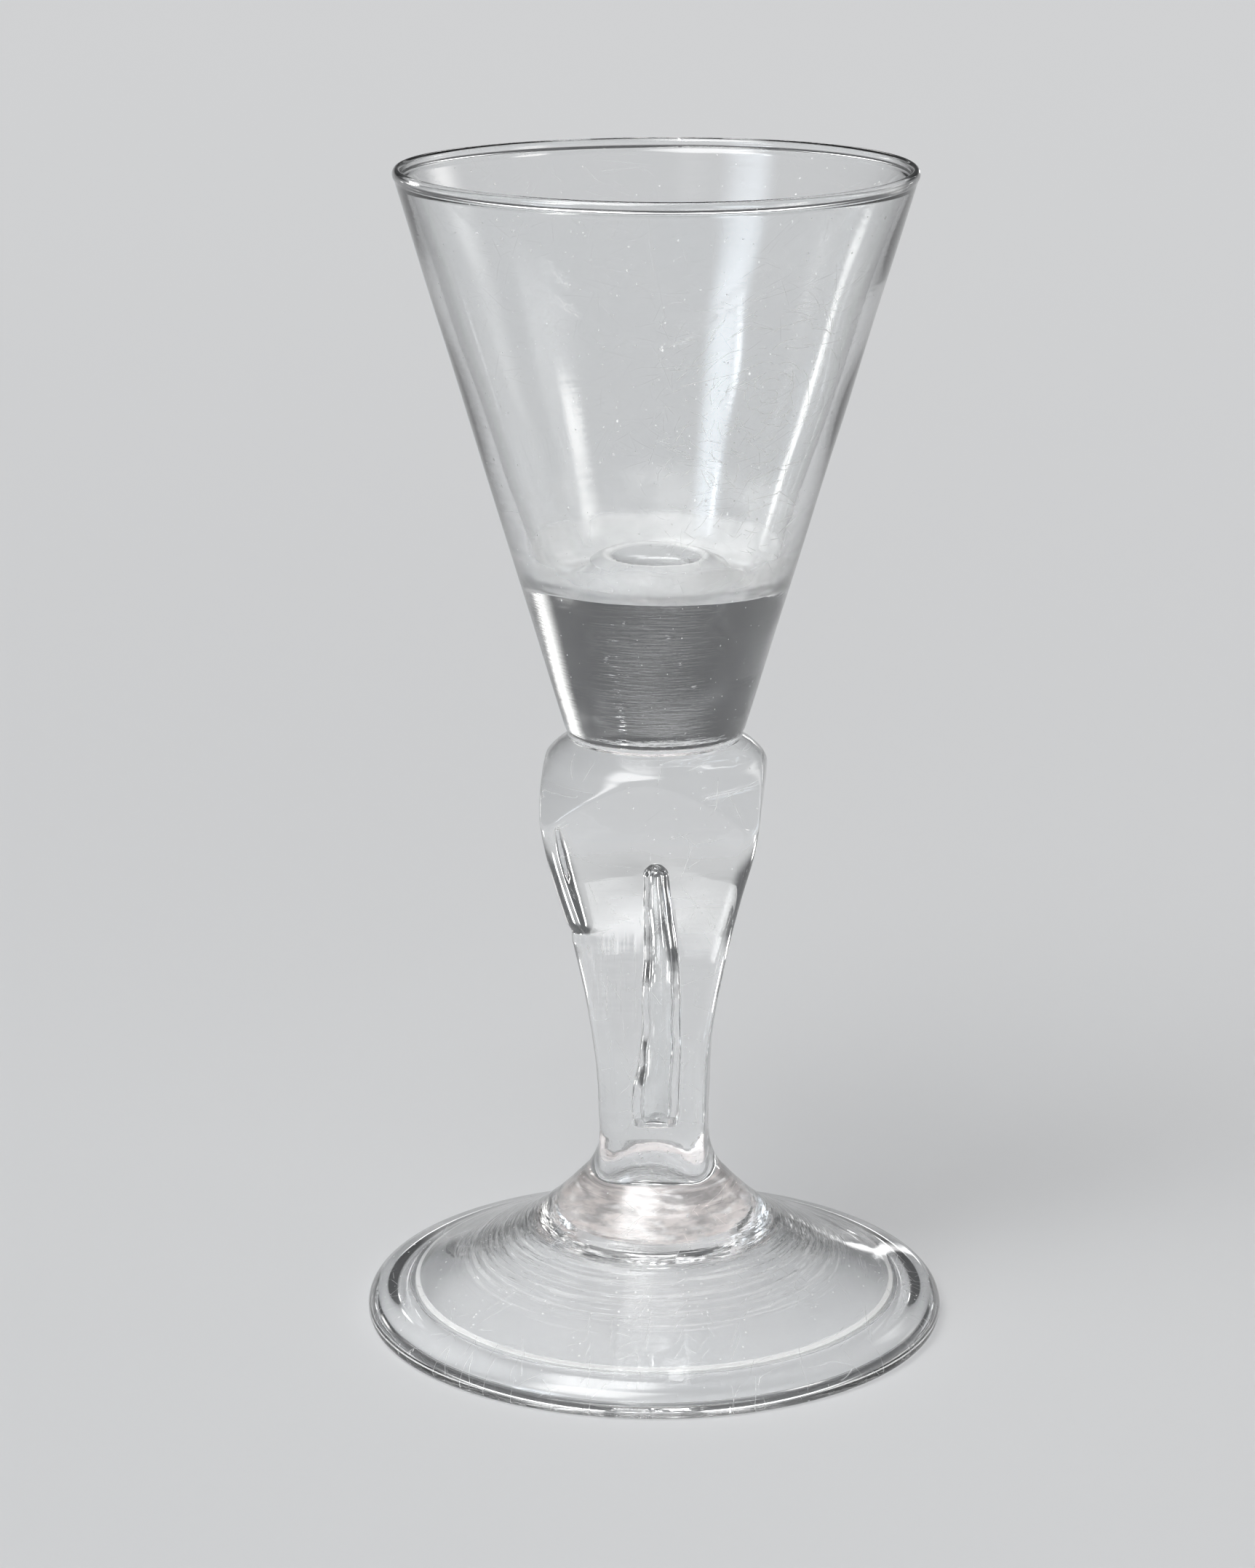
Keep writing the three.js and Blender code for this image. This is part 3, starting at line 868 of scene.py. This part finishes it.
def stemGlass():
    finish = stemFinish
    recipe = Recipe(bpy.data.materials.new("stem_clear"))
    x, y, z = recipe.parts(recipe.place())
    around, height = recipe.unrolled(finish["unrolledAt"])
    fine = recipe.layered(recipe.strokes, around, height, finish["scratches"])
    dust = recipe.layered(recipe.specks, around, height, finish["dust"])
    marked = recipe.between(x, *finish["toolAcross"]) * recipe.between(z, *finish["toolUp"])
    marked = marked * recipe.fade(y, *finish["toolFront"])
    strokes = recipe.noise(recipe.joined(x / 0.8, 0.0, z / 9), 1.0, 1.0)
    ledges = recipe.noise(recipe.joined(x / 5, 0.0, z / 1.4), 1.0, 1.0)
    # painted glints: milky dashes along the tool strokes, which also roughen them
    roughDashesAndPaintedGlints = recipe.ramp(recipe.noise(recipe.joined(x / 0.5, 2.0, z / 7), 1.0, 0.0), 0.6, 0.7) * marked
    skinWaves = recipe.noise(recipe.joined(around / 9, height / 2.4), 1.0)
    haze = fine * glassValues["scratchHaze"] + dust * glassValues["dustHaze"] + roughDashesAndPaintedGlints * finish["toolPaintedGlints"]
    roughness = fine * glassValues["scratchRoughness"] + dust * glassValues["dustRoughness"]
    roughness = roughness + roughDashesAndPaintedGlints * finish["toolRoughness"]
    relief = (strokes + ledges * 0.6) * marked * finish["toolRelief"] + skinWaves * finish["skinWaves"]
    return recipe.glass(glassValues, haze, roughness, relief)


baseFinish = {
    "unrolledAt": 9.0,
    "scratches": [((0, 0), 3.2, 0.045, 0.0, 1.2, 0.2, 0.5)],
    "dust": [((0, 0), 1.9, 0.12, 0.3)],
    "skinWaves": 1.5,
}


def baseGlass():
    finish = baseFinish
    recipe = Recipe(bpy.data.materials.new("base_clear"))
    around, height = recipe.unrolled(finish["unrolledAt"])
    fine = recipe.layered(recipe.strokes, around, height, finish["scratches"])
    dust = recipe.layered(recipe.specks, around, height, finish["dust"])
    haze = fine * glassValues["scratchHaze"] + dust * glassValues["dustHaze"]
    roughness = fine * glassValues["scratchRoughness"] + dust * glassValues["dustRoughness"]
    relief = recipe.noise(recipe.joined(around / 12, height / 1.2), 1.0) * finish["skinWaves"]
    return recipe.glass(glassValues, haze, roughness, relief)


footFinish = {
    "scratches": [((0, 0), 6.0, 0.05, 0.6, 2.2, 0.15, 0.45),
                  ((2.6, 1.4), 3.2, 0.045, 0.0, math.pi, 0.3, 0.4)],
    "dust": [((0, 0), 2.5, 0.14, 0.3)],
    # broken arcs left by turning, by their distance from the middle, and milky streaks along them that are
    # painted glints
    "turnedFrom": (14.5, 27.0, 2.0),
    "turnedRelief": 5.0,
    "turnedPaintedGlints": 0.2,
    "turnedRoughness": 0.12,
    # the crease of the fold, a milky ring that is a painted highlight for the light its slot of air catches
    "creaseFrom": 33.5,
    "creaseWidth": 0.3,
    "creaseSwell": 0.3,
    "creaseTop": (5.0, 5.3),
    "creasePaintedHighlight": 0.9,
    # the frosty scar below
    "scarFrom": (10.8, 12.0),
    "scarTop": (14.0, 15.0),
    "scarGrain": 0.45,
    "scarHaze": (0.2, 0.6),
    "scarRoughness": 0.25,
    "scarRelief": 6.0,
}


def footGlass():
    finish = footFinish
    recipe = Recipe(bpy.data.materials.new("foot_clear"))
    place = recipe.place()
    x, y, z = recipe.parts(place)
    away = lengthOf(x, y)
    turn = recipe.unrolled(1.0)[0]
    fine = recipe.layered(recipe.strokes, x, y, finish["scratches"])
    dust = recipe.layered(recipe.specks, x, y, finish["dust"])
    turned = recipe.between(away, *finish["turnedFrom"])
    arcs = recipe.noise(recipe.joined(turn * 1.8, away / 0.5), 1.0)
    # painted glints: milky streaks on the turned arcs, which also roughen them
    roughStreaksAndPaintedGlints = recipe.noise(recipe.joined(turn * 1.2, away / 0.45, 4.0), 1.0, 1.0)
    roughStreaksAndPaintedGlints = recipe.ramp(roughStreaksAndPaintedGlints, 0.54, 0.66) * turned
    # painted highlight: a milky ring of uneven width along the fold's crease
    width = finish["creaseWidth"] + finish["creaseSwell"] * recipe.noise(recipe.joined(turn * 2.0, 0.0), 1.0)
    paintedCreaseHighlight = recipe.fade(abs(away - finish["creaseFrom"]) / width, 0.5, 1.0)
    paintedCreaseHighlight = paintedCreaseHighlight * recipe.fade(z, *finish["creaseTop"])
    scar = recipe.fade(away, *finish["scarFrom"]) * recipe.fade(z, *finish["scarTop"])
    grain = recipe.noise(place, finish["scarGrain"], 3.0)
    haze = fine * glassValues["scratchHaze"] + dust * glassValues["dustHaze"] + roughStreaksAndPaintedGlints * finish["turnedPaintedGlints"]
    haze = haze + paintedCreaseHighlight * finish["creasePaintedHighlight"] + scar * recipe.ramp(grain, 0.35, 0.65, *finish["scarHaze"])
    roughness = fine * glassValues["scratchRoughness"] + dust * glassValues["dustRoughness"]
    roughness = roughness + roughStreaksAndPaintedGlints * finish["turnedRoughness"] + scar * finish["scarRoughness"]
    relief = arcs * turned * finish["turnedRelief"] + grain * scar * finish["scarRelief"]
    milky = recipe.blend(scar, glassValues["milky"], glassValues["scarred"])
    return recipe.glass(glassValues, haze, roughness, relief, milky)


def seamClear():
    # where two gathers are fused there is no surface at all
    recipe = Recipe(bpy.data.materials.new("fused_seam"))
    clear = recipe.node("BsdfPrincipled", {}, {"Alpha": 0.0, "Specular IOR Level": 0.0})
    recipe.node("OutputMaterial", {}, {"Surface": clear})
    return recipe.owner


print("stage: glass pieces")
seam = seamClear()
for build, glass, node, slotName in ((makeBowl, bowlGlass, "bowl", "bowl_glass"),
                                     (makeStem, stemGlass, "pedestal_stem", "stem_glass"),
                                     (makeStemBase, baseGlass, "stem_base", "base_glass"),
                                     (makeFoot, footGlass, "foot", "foot_glass")):
    piece = build()
    piece.data.materials.append(glass())
    piece.data.materials.append(seam)
    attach(piece, "root")
    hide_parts(node)


print("stage: camera")
cameraSizes = {
    "place": (-3.8505 * mm, -580.364 * mm, 236.745 * mm),
    "pitch": math.radians(15.25),
    "focalPixels": 5900.13,
    "frameHeightPixels": 2156,
    "sensor": 36,
}


def addCamera():
    sizes = cameraSizes
    data = bpy.data.cameras.new("photo_camera")
    data.sensor_width = sizes["sensor"]
    data.lens = sizes["sensor"] * sizes["focalPixels"] / sizes["frameHeightPixels"]
    camera = bpy.data.objects.new("photo_camera", data)
    camera.location = sizes["place"]
    camera.rotation_euler = (math.pi / 2 - sizes["pitch"], 0, 0)
    bpy.context.collection.objects.link(camera)
    bpy.context.scene.camera = camera


addCamera()

print("stage: floor and light")
studio = {
    "floorRadius": 6.0,
    "floorColour": (0.57, 0.574, 0.58),
    "floorSides": 96,
    "floorGap": 0.02 * mm,
    # the pool of light that the lamps throw on the floor; a glow that is only seen evens it out
    "poolCentre": (-0.3, -0.43),
    "poolReach": 1.41,
    "horizonColour": (0.61, 0.615, 0.62),     # the pale floor runs on into a low pale band
    "roomColour": (0.1, 0.102, 0.105),
    "bandTop": 0.13,
    "target": Vector((0, 0, 0.08)),
    "lamps": [
        # name, heading from the front and rise in degrees, distance, size across and up, radiance, colour,
        # the shares of width and height over which the light falls off, and whether it lights the floor
        ("key_softbox", -35, 55, 1.36, (1.2, 1.2), 8.0, (1.0, 1.0, 1.0), (0.3, 0.3), True),
        ("right_strip", 60, 14, 1.0, (0.42, 0.18), 13.0, (1.0, 0.98, 0.95), (0.4, 0.45), True),
        ("left_window", -47, 22, 1.1, (0.6, 0.42), 5.0, (0.84, 0.92, 1.0), (0.4, 0.35), True),
        ("left_window_spot", -55, 19.5, 1.05, (0.12, 0.12), 14.0, (0.92, 0.96, 1.0), (0.5, 0.5), True),
        ("left_low_panel", -131, 5, 1.0, (0.26, 0.12), 8.0, (1.0, 0.99, 0.97), (0.4, 0.35), False),
        ("right_back_panel", 122, 15, 1.0, (0.66, 0.27), 2.2, (1.0, 0.99, 0.97), (0.5, 0.45), False),
        ("back_rim_panel", 180, 31, 1.1, (0.5, 0.24), 5.0, (1.0, 1.0, 1.0), (0.4, 0.4), False),
        ("left_tear_strip", -143, -1, 1.2, (0.14, 0.07), 4.5, (1.0, 1.0, 1.0), (0.4, 0.4), False),
        ("right_tear_strip", 143, -1, 1.2, (0.14, 0.07), 4.5, (1.0, 1.0, 1.0), (0.4, 0.4), False),
        ("right_low_strip", 165, 3, 1.2, (0.12, 0.1), 4.0, (1.0, 1.0, 1.0), (0.35, 0.35), False),
    ],
}


def lampPlace(heading, rise, distance):
    turn, lift = math.radians(heading), math.radians(rise)
    away = Vector((math.cos(lift) * math.sin(turn), -math.cos(lift) * math.cos(turn), math.sin(lift)))
    return studio["target"] + distance * away


def addFloor():
    recipe = Recipe(bpy.data.materials.new("floor_pale"))
    x, y, _ = recipe.parts(recipe.node("TexCoord", {}, {}, "Object"))
    x, y = x - studio["poolCentre"][0], y - studio["poolCentre"][1]
    fall = (1 + (x * x + y * y) / studio["poolReach"] ** 2) ** -2
    camera, glossy, through = [recipe.node("LightPath", {}, {}, "Is " + kind + " Ray")
                               for kind in ("Camera", "Glossy", "Transmission")]
    seen = recipe.node("Math", {"operation": "MINIMUM"}, {0: camera + glossy + through, 1: 1.0})
    glow = recipe.blend((1 - fall) * seen, (0, 0, 0), studio["floorColour"])
    shader = recipe.node("BsdfPrincipled", {},
                         {"Base Color": (*studio["floorColour"], 1), "Roughness": 0.9,
                          "Specular IOR Level": 0.0, "Emission Color": glow, "Emission Strength": 1.0})
    recipe.node("OutputMaterial", {}, {"Surface": shader})
    corners = []
    for side in range(studio["floorSides"]):
        angle = fullTurn * side / studio["floorSides"]
        corners.append((studio["floorRadius"] * math.cos(angle), studio["floorRadius"] * math.sin(angle),
                        heights["table"] - studio["floorGap"]))
    mesh = bpy.data.meshes.new("floor")
    mesh.from_pydata(corners, [], [tuple(range(len(corners)))])
    mesh.materials.append(recipe.owner)
    floor = bpy.data.objects.new("floor", mesh)
    bpy.context.collection.objects.link(floor)


def addLamps():
    for name, heading, rise, distance, (across, up), radiance, colour, fall, onFloor in studio["lamps"]:
        data = bpy.data.lights.new(name, "AREA")
        data.shape = "RECTANGLE"
        data.size, data.size_y = across, up
        data.energy = radiance * math.pi * across * up
        recipe = Recipe(data)
        spot = recipe.parts(recipe.node("NewGeometry", {}, {}, "Parametric"))
        light = 1.0
        for axis in range(2):
            fromEdge = 0.5 - abs(spot[axis] - 0.5)
            light = recipe.ramp(fromEdge, 0.0, fall[axis]) * light
        shader = recipe.node("Emission", {}, {"Color": (*colour, 1), "Strength": light})
        recipe.node("OutputLight", {}, {"Surface": shader})
        lamp = bpy.data.objects.new(name, data)
        lamp.location = lampPlace(heading, rise, distance)
        lamp.rotation_euler = (studio["target"] - lamp.location).to_track_quat("-Z", "Y").to_euler()
        lamp.visible_camera = False
        lamp.visible_diffuse = onFloor
        bpy.context.collection.objects.link(lamp)


def setWorld():
    world = bpy.data.worlds.new("studio")
    bpy.context.scene.world = world
    recipe = Recipe(world)
    rise = recipe.parts(recipe.node("TexCoord", {}, {}, "Generated"))[2]
    upFromBand = recipe.ramp(rise, 0.0, studio["bandTop"])
    shader = recipe.node("Background", {},
                         {"Color": recipe.blend(upFromBand, studio["horizonColour"], studio["roomColour"])})
    recipe.node("OutputWorld", {}, {"Surface": shader})


addFloor()
addLamps()
setWorld()
bpy.context.scene.view_settings.view_transform = "Standard"
cycles = bpy.context.scene.cycles        # light crosses many walls of glass before it leaves
cycles.max_bounces = 24
cycles.transmission_bounces = 24
cycles.glossy_bounces = 8
cycles.transparent_max_bounces = 24
